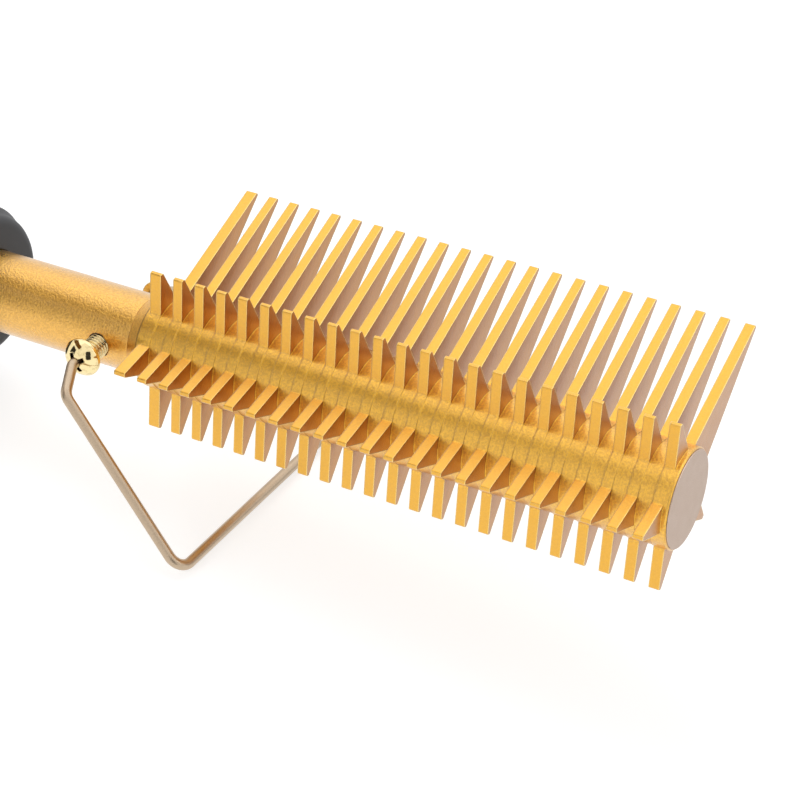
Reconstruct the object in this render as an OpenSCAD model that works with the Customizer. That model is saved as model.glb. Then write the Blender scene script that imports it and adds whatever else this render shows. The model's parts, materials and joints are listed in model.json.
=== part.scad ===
// Electric hot comb: a heated aluminium head with five rows of teeth on a round barrel,
// a neck tube, a swinging wire stand and a hollow two-part handle with three buttons.
// +X runs from the handle to the nose, +Z is up, and the comb rests on its stand and its handle.

/* [Comb head] */
// Number of teeth in each row
teeth = 23; // [8:1:26]
// Distance from one tooth to the next
tooth_pitch = 5; // [4.4:0.1:6]
// Thickness of a tooth where it leaves the barrel
tooth_root_t = 2.15; // [1.6:0.05:2.6]
// Thickness of a long tooth at its tip
tooth_tip_t = 1.85; // [1.2:0.05:2.2]
// Extra thickness of the tooth next to the neck
first_tooth_extra = 0.4; // [0:0.1:1.2]
// Radius of the barrel
barrel_r = 9.9; // [9.2:0.1:11.5]
// Depth of the turned gaps below the barrel's surface
gap_depth = 0.15; // [0.05:0.05:0.4]
// Radius from the barrel's axis to the tips of the long row
long_reach = 37.7; // [28:0.1:42]
// Width of a long tooth where it leaves the barrel
long_root_w = 9.9; // [6:0.1:11]
// Width of a long tooth at its rounded tip
long_tip_w = 0.9; // [0.6:0.1:4]
// Radius from the barrel's axis to the tips of the four short rows
short_reach = 17.8; // [15:0.1:22]
// Width of a short tooth where it leaves the barrel
short_root_w = 6.2; // [5:0.1:8.4]
// Width of a short tooth at its tip
short_tip_w = 1; // [0.8:0.1:4]
// Chamfer at the corners of the short tips
short_tip_chamfer = 0.2; // [0.1:0.05:0.35]
// Angle of the long row above the horizontal
long_row_lift = 31.2; // [20:0.1:40]
// Angle round the barrel from the long row to the top row
top_row_angle = 69.4; // [64:0.1:78]
// Angle round the barrel from the long row to the near row
near_row_angle = 142.8; // [138:0.1:150]
// Angle round the barrel from the long row to the bottom row
bottom_row_angle = 215.2; // [210:0.1:222]
// Angle round the barrel from the long row to the far row
far_row_angle = 285; // [280:0.1:294]
// Radius of the bore that holds the heater
heater_bore_r = 5.8; // [5.5:0.1:6.2]

/* [Nose cap] */
// Thickness of the nose cap's rim
cap_t = 0.3; // [0.2:0.1:2]
// Radius of the nose cap's rim
cap_r = 9.5; // [8:0.1:9.8]
// Length of the cap's plug in the bore
cap_plug_l = 5; // [3:0.5:7]

/* [Neck] */
// Outer radius of the neck tube
neck_r = 8.35; // [8.1:0.05:9.1]
// Wall of the neck tube
neck_wall = 1.3; // [0.8:0.05:1.4]
// Length of neck that shows between the head and the handle
neck_shown = 40; // [34:0.5:60]
// Length of the head's tail inside the neck tube
tail_l = 13; // [12:0.5:18]

/* [Stand] */
// Diameter of the stand's wire
wire_d = 2.2; // [1.6:0.1:2.4]
// Distance from the first tooth back to the stand's pivot
pivot_back = 12.2; // [10.5:0.1:13]
// Distance from the pivot down to the stand's bar
stand_drop = 44.6; // [40:0.1:50]
// Half of the distance between the corners of the bar
stand_half_w = 31.6; // [28:0.1:36]
// Half of the distance between the upper elbows of the wire
elbow_half_w = 23.6; // [22:0.1:26]
// Drop from the pivot to the upper elbows
elbow_drop = 3.9; // [2:0.1:6]
// Radius of the wire's bends, at its centre line
bend_r = 3; // [2.5:0.1:7]
// Forward lean of the stand from straight down, at rest
stand_lean = 49; // [40:1:54]
// Diameter of the stand screws' shanks
screw_d = 4.9; // [4:0.1:5.2]
// Diameter of the stand screws' heads
screw_head_d = 8.1; // [7:0.1:9.4]
// Height of the stand screws' heads
screw_head_h = 3.4; // [3:0.1:4]
// Bare shank between the neck and the screw head
screw_stand_off = 4.7; // [3:0.1:5.5]

/* [Handle] */
// Radius of the handle at its front
handle_front_r = 16.8; // [16:0.1:18.5]
// Radius of the handle at its waist
handle_waist_r = 14.6; // [14:0.1:15.8]
// Radius of the handle at its heel
handle_heel_r = 16.4; // [16:0.1:18.5]
// Radius of the handle at its tail
handle_tail_r = 13; // [12:0.1:14]
// Length of the two handle shells
shell_l = 123; // [118:1:150]
// Wall of the handle shells
shell_wall = 2.2; // [1.6:0.1:2.6]
// Length of the heat guard collar
collar_l = 12; // [10:0.5:16]
// Rounding of the collar's front edge
collar_edge = 2.5; // [1:0.1:4]
// Step from the collar's front edge up to the handle's radius
collar_step = 1.3; // [0:0.1:2]
// Length of the tail cap
tail_cap_l = 7; // [5:0.5:10]

/* [Controls] */
// Depth of the flat for the control panel below the waist's crown
panel_drop = 2.4; // [2:0.1:2.8]
// Length of the control panel
panel_l = 53; // [52:0.5:56]
// Width of the control panel
panel_w = 15; // [14:0.1:16]
// Thickness of the control panel
panel_t = 1.6; // [1.4:0.1:1.8]
// Height of the control panel above its flat
panel_proud = 0.7; // [0.4:0.1:1]
// Diameter of the plus and minus buttons
button_d = 6.4; // [5:0.1:7]
// Diameter of the power button
power_d = 7.6; // [6:0.1:8]
// Height of the buttons above the panel
button_proud = 1.1; // [0.8:0.1:1.6]
// Travel of the buttons
button_travel = 0.6; // [0.3:0.05:0.8]
// Length of the display's window
window_l = 15; // [12:0.5:16]
// Width of the display's window
window_w = 7; // [5:0.1:8]
// Length of the control board
board_l = 68; // [66:0.5:72]
// Width of the control board
board_w = 18; // [16:0.5:20]
// Thickness of the control board
board_t = 1.6; // [1:0.1:2]
// Height of the board's top above the handle's seam
board_top = 3; // [2.6:0.1:3.4]

/* [Heater] */
// Thickness of the heater plate
ptc_t = 2.5; // [2:0.1:3.2]
// Width of the heater plate
ptc_w = 9; // [7:0.1:9.6]
// Length of the heater plate
ptc_l = 96; // [40:1:100]
// Diameter of the heater's leads
lead_d = 1.5; // [1:0.1:1.6]
// Distance from the middle to each lead
lead_side = 2.6; // [2.2:0.1:2.8]

/* [Cord gland] */
// Radius of the bore that takes the cord
cord_bore_r = 3.1; // [2.2:0.1:3.6]
// Depth of the bore that takes the cord
cord_bore_l = 12; // [8:0.5:16]
// Radius of the gland's neck in the tail cap
gland_neck_r = 5; // [4.6:0.1:5.6]
// Radius of the gland's outer end
gland_r = 7.2; // [6.4:0.1:8]
// Length of the gland behind the tail cap
gland_l = 9; // [6:0.5:14]

/* [Hidden] */
$fn = 64;

// Clearances: a turning fit, parts that slip together, and cutters that pass a face
run_gap = 0.08;
slip_gap = 0.1;
end_gap = 0.3;
past = 1;

// Colours
gold = [0.86, 0.6, 0.2];
steel = [0.75, 0.66, 0.52];
black = [0.13, 0.13, 0.14];
grey = [0.3, 0.3, 0.32];
white = [0.9, 0.89, 0.85];
green = [0.1, 0.35, 0.2];
brass = [0.8, 0.65, 0.3];

// Head: the first tooth's middle is at x = 0, the teeth run to the nose
upright = 90;
wing_base = 0.9 * barrel_r;
row_angles = [for (a = [0, top_row_angle, near_row_angle, bottom_row_angle, far_row_angle])
    a + long_row_lift - upright];
head_l = (teeth - 1) * tooth_pitch;
first_back = tooth_root_t / 2 + first_tooth_extra;
last_front = head_l + tooth_root_t / 2;
nose_land = 1.05;
nose_x = last_front + nose_land;
shoulder_rise = 3;
shoulder_land = 0.6;
shoulder_edge = [0.8, 0.45];
shoulder_x = -first_back - shoulder_land;
neck_x = shoulder_x - shoulder_rise;
tail_x = neck_x - tail_l;
neck_bore_r = neck_r - neck_wall;
tail_wall = 1.2;
tail_r = neck_bore_r - slip_gap;
tail_bore_r = tail_r - tail_wall;
floor_r = barrel_r - gap_depth;
nose_chamfer = 0.3;
plug_chamfer = 0.4;

// Heater: two half-round wedges clamp the plate in the bore
wedge_r = heater_bore_r - slip_gap;
wedge_flat = ptc_t / 2 + slip_gap;
wedge_x = 0;
bore_back = 0.5;
plug_room = 1;
ptc_margin = 2;
wedge_end = nose_x - cap_plug_l - plug_room;
wedge_l = wedge_end - wedge_x;
ptc_len = min(ptc_l, wedge_l - ptc_margin);
tab_l = 4.5;
tab_t = 1;
tab_half_w = 0.8;
bead_r = 0.9;
bead_l = 8;
bead_depth = 0.35;
bead_z = wedge_r - bead_r - bead_depth;
sensor_lead_r = 0.45;
lead_run = 3;
fuse_front = tail_x - lead_run;
fuse_l = 10;
fuse_r = 1.7;
insulator_front = fuse_front - fuse_l - lead_run;
insulator_l = 10;

// Handle: the collar's front face, the shells' ends and the waist
collar_x = neck_x - neck_shown;
shell_x = collar_x - collar_l;
shell_end = shell_x - shell_l;
waist_u = 0.35;
heel_u = 0.82;
shell_steps = 26;
function ease(t) = (1 - cos(180 * t)) / 2;
function mix(a, b, t) = a + (b - a) * t;
function handle_r(u) =
    u < waist_u ? mix(handle_front_r, handle_waist_r, ease(u / waist_u)) :
    u < heel_u ? mix(handle_waist_r, handle_heel_r, ease((u - waist_u) / (heel_u - waist_u))) :
    mix(handle_tail_r, handle_heel_r, cos(90 * (u - heel_u) / (1 - heel_u)));
shell_points = [for (i = [0 : shell_steps])
    [shell_x - shell_l * i / shell_steps, handle_r(i / shell_steps)]];
waist_x = shell_x - waist_u * shell_l;

// Neck clamp and the ribs that hold it
clamp_t = 3;
rib_t = 1.8;
shell_bore_r = handle_front_r - shell_wall;
collar_plug_l = 2;
collar_slope_l = 2;
clamp_x = shell_x - collar_plug_l;
clamp_end = clamp_x - clamp_t;
rib_x = clamp_end - slip_gap;
neck_end = rib_x - rib_t;
clamp_seat = 4;
clamp_r = min([for (p = shell_points) if (p[0] > rib_x - clamp_seat) p[1]]) - shell_wall - slip_gap;

// Control panel, buttons and display, measured down from the panel's flat
panel_z = handle_waist_r - panel_drop;
panel_top = panel_z + panel_proud;
panel_base = panel_top - panel_t;
roof_t = 1;
roof_z = panel_base - roof_t;
panel_shift = 1;
panel_x = waist_x + panel_shift;
panel_front = panel_x + panel_l / 2;
panel_back = panel_x - panel_l / 2;
ramp_l = 6.5;
ramp_rise = handle_front_r - panel_z;
panel_rim = 2;
ramp_start = panel_front + panel_rim;
ramp_finish = panel_back - panel_rim;
window_in = 4;
display_x = panel_front - window_in - window_l / 2;
plus_step = 7.5;
minus_step = 9;
power_step = 9.5;
plus_x = display_x - window_l / 2 - plus_step;
minus_x = plus_x - minus_step;
power_x = minus_x - power_step;
flange_t = 0.8;
flange_rim = 0.8;
flange_top = panel_base - end_gap;
flange_base = flange_top - flange_t;
cap_gap = 0.15;
ledge = 0.8;
window_t = 1;
glass_t = 2.4;
glass_gap = 0.2;
glass_rim = 0.5;
light_t = 2;
light_rim = 0.6;
leg_r = 0.8;
leg_in = 3.5;
leg_side = window_w / 2 + glass_rim - leg_r;

// Board, switches and the plug of the temperature sensor
board_room = 8.5;
board_front = neck_end - board_room;
board_back = board_front - board_l;
board_base = board_top - board_t;
switch_w = 6;
switch_h = 2.8;
plunger_r = 1.6;
plunger_h = 0.7;
plunger_top = board_top + switch_h + plunger_h;
stem_r = 1.3;
stem_base = plunger_top + button_travel + slip_gap;
plug_l = 6;
plug_w = 2 * (leg_side - leg_r - end_gap);
plug_h = 3.2;
lead_z = board_top - board_t / 2;
lead_x = -tab_l;
board_screw_in = 5;
board_boss_r = 2.4;
board_screw_side = board_w / 2 - board_boss_r;
board_screw_r = 1;
board_screw_l = 4.5;
board_hole_l = 5;
board_head_r = 1.9;
board_head_h = 1.2;
board_places = [[board_front - board_screw_in, -board_screw_side],
    [board_back + board_screw_in, board_screw_side]];

// Handle screws: a front pair before the board and a rear pair behind it
boss_r = 3;
pin_r = 1.2;
screw_head_r = 2.4;
screw_web = 3;
screw_reach = 6;
thread_gap = 0.02;
pan_h = 2;
pan_slot = [3, 0.6, 1.6];
rear_room = 10;
front_boss_x = (neck_end + board_front) / 2;
front_boss_y = 8.6;
rear_boss_x = board_back - rear_room;
rear_boss_y = 7.6;
boss_places = [for (s = [-1, 1]) each
    [[front_boss_x, s * front_boss_y], [rear_boss_x, s * rear_boss_y]]];

// Tail cap, swivelling gland and its contact block
cap_spigot_l = 4;
spigot_r = handle_tail_r - shell_wall - slip_gap;
flange_l = 2;
tail_bore = gland_neck_r + run_gap;
gland_flange_w = 3;
gland_flange_r = gland_neck_r + gland_flange_w;
gland_flange_back = shell_end + cap_spigot_l + end_gap;
gland_front = gland_flange_back + flange_l;
trap_x = gland_front + end_gap;
trap_t = 1.5;
trap_gap = 0.5;
block_x = trap_x + trap_t;
block_t = 3;
block_r = 9.5;
tail_cap_end = shell_end - tail_cap_l;
gland_back = tail_cap_end - end_gap;
gland_end = gland_back - gland_l;
gland_edge = 2;
core_step = 1;
core_bore_r = cord_bore_r - core_step;

// Stand: the wire's centre line in its own plane, across and down from the pivot
wire_r = wire_d / 2;
pivot_x = -pivot_back;
head_base = neck_r + screw_stand_off;
head_top = head_base + screw_head_h;
screw_point = 0.7;
screw_in = tail_r - screw_point;
head_rim = 0.9;
pin_depth = 2.6;
first_bend_r = 2.2;
first_bend_at = head_top + first_bend_r / 4;
wire_points = [[head_top - pin_depth, 0], [first_bend_at, 0], [elbow_half_w, elbow_drop],
    [stand_half_w, stand_drop]];
wire_half = [for (p = wire_points) [-p[0], p[1]]];
wire_path = concat(wire_half, [for (i = [3 : -1 : 0]) wire_points[i]]);
// A bend is a hair thicker than the wire, and the straight runs reach a little way into it
bend_swell = 0.01;
bend_lap = 0.1;
wire_bends = [0, first_bend_r, bend_r, bend_r, bend_r, bend_r, first_bend_r, 0];

// Resting place: the table touches the stand's bar and the handle's heel
bar_x = pivot_x + stand_drop * sin(stand_lean);
bar_z = stand_drop * cos(stand_lean);
function lean_to(p) = let (a = bar_x - p[0], b = bar_z - p[1])
    asin(wire_r / norm([a, b])) + atan2(b, a);
rest_tilt = min([for (p = shell_points) lean_to(p)]);
rest_lift = bar_z * cos(rest_tilt) + wire_r + bend_swell - bar_x * sin(rest_tilt);
nose_reach = (nose_x + cap_t) * cos(rest_tilt) + cap_r * sin(rest_tilt);
tail_reach = gland_end * cos(rest_tilt) - (gland_r - gland_edge) * sin(rest_tilt);
far_reach = (long_reach - long_tip_w / 2) * cos(long_row_lift) + long_tip_w / 2;
corner_turn = 180 - atan2(stand_drop - elbow_drop, stand_half_w - elbow_half_w);
near_reach = stand_half_w - bend_r * tan(corner_turn / 2) + bend_r + wire_r;
middle_x = (nose_reach + tail_reach) / 2;
middle_y = (far_reach - near_reach) / 2;

// Places what is drawn about the barrel's axis where the comb rests
module stance() {
    translate([-middle_x, -middle_y, rest_lift]) rotate([0, -rest_tilt, 0]) children();
}

// Points along an arc, from one angle to the other
function arc(x, y, r, from, to, steps = 6) = [for (i = [0 : steps])
    let (a = from + (to - from) * i / steps) [x + r * cos(a), y + r * sin(a)]];

// A cylinder along X from x0 to x1
module rod(x0, x1, r) {
    translate([x0, 0, 0]) rotate([0, 90, 0]) cylinder(h = x1 - x0, r = r);
}

// A turned body about the X axis; the outline's points are [x, radius]
module turned() {
    rotate([90, 0, 90]) rotate_extrude() rotate(90) mirror([0, 1]) children();
}

// An upright post from z0 to z1
module post(x, y, z0, z1, r) {
    translate([x, y, z0]) cylinder(h = z1 - z0, r = r);
}

// A box from one corner to the other
module block(from, to) {
    translate(from) cube(to - from);
}

// ---- Comb head ----

// One row of the extrusion's section: a wedge with its tip away from the barrel
module long_wedge() {
    tip_r = long_tip_w / 2;
    polygon([[-long_root_w / 2, 0], [-long_root_w / 2, wing_base], [-tip_r, long_reach - tip_r],
        [tip_r, long_reach - tip_r], [long_root_w / 2, wing_base], [long_root_w / 2, 0]]);
    translate([0, long_reach - tip_r]) circle(r = tip_r);
}

module short_wedge() {
    tip = short_tip_w / 2;
    c = short_tip_chamfer;
    polygon([[-short_root_w / 2, 0], [-short_root_w / 2, wing_base], [-tip, short_reach - c],
        [c - tip, short_reach], [tip - c, short_reach], [tip, short_reach - c],
        [short_root_w / 2, wing_base], [short_root_w / 2, 0]]);
}

module head_section() {
    for (i = [0 : len(row_angles) - 1]) {
        rotate(row_angles[i]) if (i == 0) long_wedge(); else short_wedge();
    }
}

// The gap turned between two teeth, a little wider at the tips than at the barrel
module gap_section() {
    over = long_reach + past;
    root = tooth_root_t / 2;
    tip = tooth_root_t / 2 - (tooth_root_t - tooth_tip_t) / 2 * (over - floor_r) / (long_reach - floor_r);
    polygon([[root, floor_r], [tooth_pitch - root, floor_r], [tooth_pitch - tip, over], [tip, over]]);
}

module head_blank() {
    translate([-first_back, 0, 0]) rotate([90, 0, 90])
        linear_extrude(height = last_front + first_back) head_section();
    turned() polygon([[tail_x, 0], [tail_x, tail_r], [neck_x, tail_r], [neck_x, neck_r],
        [shoulder_x - shoulder_edge[0], barrel_r - shoulder_edge[1]], [shoulder_x, barrel_r],
        [nose_x - nose_chamfer, barrel_r], [nose_x, barrel_r - nose_chamfer], [nose_x, 0]]);
}

module comb_head() stance() {
    color(gold) difference() {
        head_blank();
        for (i = [0 : teeth - 2]) translate([i * tooth_pitch, 0, 0]) turned() gap_section();
        rod(wedge_x - bore_back, nose_x + past, heater_bore_r);
        rod(tail_x - past, wedge_x, tail_bore_r);
        translate([pivot_x, 0, 0]) rotate([90, 0, 0])
            cylinder(h = 2 * neck_r, r = screw_d / 2 + slip_gap, center = true);
    }
}

// The cap's rim covers the nose, and its plug sits in the heater's bore
module nose_cap() stance() {
    plug_r = heater_bore_r - slip_gap;
    color(steel) turned() polygon([[nose_x - cap_plug_l, 0], [nose_x - cap_plug_l, plug_r - plug_chamfer],
        [nose_x - cap_plug_l + plug_chamfer, plug_r], [nose_x, plug_r], [nose_x, cap_r],
        [nose_x + cap_t / 2, cap_r], [nose_x + cap_t, cap_r - cap_t / 2],
        [nose_x + cap_t, 0]]);
}

// ---- Neck and heater ----

module neck_tube() stance() {
    color(gold) difference() {
        rod(neck_end, neck_x, neck_r);
        rod(neck_end - past, neck_x + past, neck_bore_r);
        translate([pivot_x, 0, 0]) rotate([90, 0, 0])
            cylinder(h = 3 * neck_r, r = screw_d / 2 + slip_gap, center = true);
    }
}

// The plate has one tab for each lead at its rear end
module ptc_heater() stance() color(grey) {
    block([wedge_x, -ptc_w / 2, -ptc_t / 2], [wedge_x + ptc_len, ptc_w / 2, ptc_t / 2]);
    for (s = [-1, 1]) {
        block([lead_x, s * lead_side - tab_half_w, -ptc_t / 2],
            [wedge_x, s * lead_side + tab_half_w, ptc_t / 2]);
        block([lead_x, s * lead_side - tab_half_w, -ptc_t / 2],
            [lead_x + tab_t, s * lead_side + tab_half_w, lead_z + lead_d / 2]);
    }
}

module heater_wedge() {
    intersection() {
        rod(wedge_x, wedge_end, wedge_r);
        block([wedge_x, -wedge_r, wedge_flat], [wedge_end, wedge_r, wedge_r]);
    }
}

module heater_wedge_upper() stance() {
    color("silver") difference() {
        heater_wedge();
        translate([wedge_x - past, 0, bead_z]) rod(0, bead_l + past + slip_gap, bead_r + slip_gap);
        block([wedge_x - past, -bead_r - slip_gap, bead_z], [wedge_x + bead_l + slip_gap,
            bead_r + slip_gap, wedge_r + past]);
    }
}

module heater_wedge_lower() stance() {
    color("silver") mirror([0, 0, 1]) heater_wedge();
}

// The bead lies in the upper wedge's channel, and its leads run back to their plug
module thermistor() stance() color("ivory") translate([0, 0, bead_z]) {
    rod(wedge_x, wedge_x + bead_l, bead_r);
    rod(board_front, wedge_x, sensor_lead_r);
}

// The fuse sits in line with one lead, inside the neck
module thermal_fuse() stance() color("tan") translate([0, lead_side, lead_z]) {
    rod(fuse_front - fuse_l, fuse_front, fuse_r);
}

module heater_leads() stance() color("red") {
    translate([0, -lead_side, lead_z]) rod(board_front, lead_x, lead_d / 2);
    translate([0, lead_side, lead_z]) rod(fuse_front, lead_x, lead_d / 2);
    translate([0, lead_side, lead_z]) rod(board_front, fuse_front - fuse_l, lead_d / 2);
}

// A ceramic bush that keeps the leads off the neck's wall
module lead_insulator() stance() {
    color(white) difference() {
        rod(insulator_front - insulator_l, insulator_front, neck_bore_r - slip_gap);
        for (s = [-1, 1]) translate([0, s * lead_side, lead_z])
            rod(insulator_front - insulator_l - past, insulator_front + past, lead_d / 2 + slip_gap);
        translate([0, 0, bead_z])
            rod(insulator_front - insulator_l - past, insulator_front + past, sensor_lead_r + slip_gap);
    }
}

// ---- Stand ----

// Radius of the ball whose cap has the given base radius and height
function dome_r(base, height) = (base * base + height * height) / (2 * height);

// A domed screw along +Y, with a bore in its head for the end of the wire
module stand_screw() {
    head_r = screw_head_d / 2;
    cap_h = screw_head_h - head_rim;
    ball_r = dome_r(head_r, cap_h);
    color(brass) translate([pivot_x, 0, 0]) rotate([-90, 0, 0]) difference() {
        union() {
            translate([0, 0, screw_in]) cylinder(h = head_base - screw_in, r = screw_d / 2);
            translate([0, 0, head_base]) cylinder(h = head_rim, r = head_r);
            intersection() {
                translate([0, 0, head_base + head_rim]) cylinder(h = cap_h, r = head_r);
                translate([0, 0, head_top - ball_r]) sphere(r = ball_r);
            }
        }
        translate([0, 0, head_top - pin_depth - end_gap])
            cylinder(h = pin_depth + past, r = wire_r + run_gap);
    }
}

module stand_screws() stance() {
    for (s = [0, 1]) mirror([0, s, 0]) stand_screw();
}

// Angle of the step from one point of a path to the next, and the turn at a point
function heading(p, i) = atan2(p[i + 1][1] - p[i][1], p[i + 1][0] - p[i][0]);
function turn(p, i) = let (a = heading(p, i) - heading(p, i - 1))
    a > 180 ? a - 360 : a < -180 ? a + 360 : a;
function trim(p, r, i) = i == 0 || i == len(p) - 1 ? 0 : r[i] * tan(abs(turn(p, i)) / 2);

// A round wire bent along a flat path, with a bend radius at each inner point
module bent_wire(p, bends, r) {
    for (i = [0 : len(p) - 2]) {
        start = trim(p, bends, i) - (i == 0 ? 0 : bend_lap);
        end = trim(p, bends, i + 1) - (i == len(p) - 2 ? 0 : bend_lap);
        run = norm(p[i + 1] - p[i]) - start - end;
        translate(p[i]) rotate(heading(p, i)) rotate([0, 90, 0]) translate([0, 0, start])
            cylinder(h = run, r = r);
    }
    for (i = [1 : len(p) - 2]) {
        side = sign(turn(p, i));
        translate(p[i]) rotate(heading(p, i - 1)) translate([-trim(p, bends, i), side * bends[i]])
            rotate(side > 0 ? -90 : 90 - abs(turn(p, i)))
                rotate_extrude(angle = abs(turn(p, i))) translate([bends[i], 0]) circle(r = r + bend_swell);
    }
}

module stand_wire() stance() {
    color(steel) translate([pivot_x, 0, 0]) rotate([0, -90 - stand_lean, 0]) rotate(90)
        bent_wire(wire_path, wire_bends, wire_r);
}

// ---- Handle ----

module handle_outline(inset) {
    polygon(concat([[shell_x, 0]], [for (p = shell_points) [p[0], p[1] - inset]], [[shell_end, 0]]));
}

// The flat for the control panel, with a ramp at each end
module panel_flat() {
    top = 2 * handle_front_r;
    translate([0, handle_front_r, 0]) rotate([90, 0, 0]) linear_extrude(height = 2 * handle_front_r)
        polygon([[ramp_start, panel_z], [ramp_start + ramp_l, panel_z + ramp_rise],
            [ramp_start + ramp_l, top], [ramp_finish - ramp_l, top],
            [ramp_finish - ramp_l, panel_z + ramp_rise], [ramp_finish, panel_z]]);
}

// A plate with round ends, grown by grow on every side
module panel_plate(z0, z1, grow) {
    w = panel_w + 2 * grow;
    span = (panel_l - panel_w) / 2;
    translate([panel_x, 0, z0]) linear_extrude(height = z1 - z0) {
        square([2 * span, w], center = true);
        for (s = [-1, 1]) translate([s * span, 0]) circle(d = w);
    }
}

module ring_rib(x0, x1, bore) {
    difference() {
        rod(x0, x1, handle_front_r + handle_heel_r);
        rod(x0 - past, x1 + past, bore);
    }
}

module shell_hollow() {
    difference() {
        turned() handle_outline(shell_wall);
        block([ramp_finish - ramp_l, -handle_front_r, roof_z],
            [min(ramp_start + ramp_l, rib_x), handle_front_r, 2 * handle_front_r]);
        ring_rib(neck_end, rib_x, neck_r + slip_gap);
        ring_rib(trap_x, trap_x + trap_t, gland_neck_r + trap_gap);
        for (b = boss_places) post(b[0], b[1], -handle_heel_r, handle_heel_r, boss_r);
    }
}

module handle_shell(low, high) {
    difference() {
        intersection() {
            turned() handle_outline(0);
            block([shell_end - past, -2 * handle_heel_r, low], [shell_x + past, 2 * handle_heel_r, high]);
        }
        shell_hollow();
        panel_flat();
    }
}

module handle_upper() stance() {
    room = glass_rim + glass_gap;
    color(black) difference() {
        handle_shell(0, 2 * handle_heel_r);
        panel_plate(panel_base, panel_top + past, slip_gap);
        for (b = [[plus_x, button_d], [minus_x, button_d], [power_x, power_d]])
            post(b[0], 0, 0, panel_top, b[1] / 2 + flange_rim + end_gap);
        block([display_x - window_l / 2 - room, -window_w / 2 - room, 0],
            [display_x + window_l / 2 + room, window_w / 2 + room, panel_top]);
        for (b = boss_places) post(b[0], b[1], -past, screw_reach, pin_r);
    }
}

// The posts for the board stand up past the seam
module board_posts() {
    intersection() {
        for (b = board_places) post(b[0], b[1], -handle_heel_r, board_base, board_boss_r);
        turned() handle_outline(shell_wall / 2);
    }
}

module handle_lower() stance() {
    color(black) difference() {
        union() {
            handle_shell(-2 * handle_heel_r, 0);
            board_posts();
        }
        for (b = boss_places) {
            post(b[0], b[1], -2 * handle_heel_r, -screw_web, screw_head_r + 2 * slip_gap);
            post(b[0], b[1], -screw_web - past, past, pin_r + slip_gap);
        }
        for (b = board_places)
            post(b[0], b[1], board_base - board_hole_l, board_base + past, board_screw_r);
    }
}

// Pan-headed screws, each head deep in the lower shell
module handle_screws() stance() color("silver") {
    for (b = boss_places) {
        post(b[0], b[1], -screw_web, screw_reach - end_gap, pin_r - thread_gap);
        difference() {
            post(b[0], b[1], -screw_web - pan_h, -screw_web, screw_head_r);
            for (a = [0, 90]) translate([b[0], b[1], -screw_web - pan_h]) rotate(a)
                cube(pan_slot, center = true);
        }
    }
}

// The collar's front edge is rounded and its rear plug fits in the shells
module heat_guard_collar() stance() {
    edge_r = handle_front_r - collar_step;
    slope_x = collar_x - collar_edge - collar_slope_l;
    color(black) difference() {
        turned() polygon(concat([[clamp_x, 0], [clamp_x, clamp_r], [shell_x, clamp_r],
            [shell_x, handle_front_r], [slope_x, handle_front_r]],
            arc(collar_x - collar_edge, edge_r - collar_edge, collar_edge, 90, 0), [[collar_x, 0]]));
        rod(clamp_x - past, collar_x + past, neck_r + slip_gap);
    }
}

// A ring fixed on the neck tube and trapped between the collar and the ribs
module neck_clamp() stance() {
    color(grey) difference() {
        rod(clamp_end, clamp_x, clamp_r);
        rod(clamp_end - past, clamp_x + past, neck_r);
    }
}

// ---- Controls ----

module control_panel() stance() {
    color("black") difference() {
        panel_plate(panel_base, panel_top, 0);
        for (b = [[plus_x, button_d], [minus_x, button_d], [power_x, power_d]])
            post(b[0], 0, panel_base - past, panel_top + past, b[1] / 2 + cap_gap);
        block([display_x - window_l / 2 + ledge, -window_w / 2 + ledge, panel_base - past],
            [display_x + window_l / 2 - ledge, window_w / 2 - ledge, panel_top]);
        block([display_x - window_l / 2, -window_w / 2, panel_top - window_t],
            [display_x + window_l / 2, window_w / 2, panel_top + past]);
    }
}

module display_window() stance() color([0.1, 0.12, 0.14]) {
    g = slip_gap / 2;
    block([display_x - window_l / 2 + g, -window_w / 2 + g, panel_top - window_t],
        [display_x + window_l / 2 - g, window_w / 2 - g, panel_top]);
}

// The glass faces the window, on a backlight that stands on four legs
module display_module() stance() color("lightgrey") {
    glass_top = panel_base - glass_gap;
    glass_base = glass_top - glass_t;
    light_base = glass_base - light_t;
    half_l = window_l / 2 + glass_rim;
    half_w = window_w / 2 + glass_rim;
    block([display_x - half_l, -half_w, glass_base], [display_x + half_l, half_w, glass_top]);
    block([display_x - half_l - light_rim, -half_w - light_rim, light_base],
        [display_x + half_l + light_rim, half_w + light_rim, glass_base]);
    for (x = [-1, 1], y = [-1, 1])
        post(display_x + x * (half_l - leg_in), y * leg_side, board_top, light_base, leg_r);
}

// A round cap with a rounded top edge, a flange under the panel and a stem over its switch
module button(x, d) {
    r = d / 2;
    edge = 0.5;
    top = panel_top + button_proud;
    translate([x, 0, 0]) rotate_extrude() polygon(concat([[0, stem_base], [stem_r, stem_base],
        [stem_r, flange_base], [r + flange_rim, flange_base], [r + flange_rim, flange_top],
        [r, flange_top]], arc(r - edge, top - edge, edge, 0, 90), [[0, top]]));
}

module power_button() stance() color("red") button(power_x, power_d);

module plus_button() stance() color("white") button(plus_x, button_d);

module minus_button() stance() color("white") button(minus_x, button_d);

module tact_switches() stance() color(grey) {
    for (x = [plus_x, minus_x, power_x]) {
        block([x - switch_w / 2, -switch_w / 2, board_top],
            [x + switch_w / 2, switch_w / 2, board_top + switch_h]);
        post(x, 0, board_top + switch_h, plunger_top, plunger_r);
    }
}

module control_board() stance() {
    color(green) difference() {
        block([board_back, -board_w / 2, board_base], [board_front, board_w / 2, board_top]);
        for (b = board_places)
            post(b[0], b[1], board_base - past, board_top + past, board_screw_r + slip_gap);
    }
}

module board_screws() stance() color("silver") {
    for (b = board_places) {
        post(b[0], b[1], board_base - board_screw_l, board_top, board_screw_r - thread_gap);
        post(b[0], b[1], board_top, board_top + board_head_h, board_head_r);
    }
}

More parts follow.
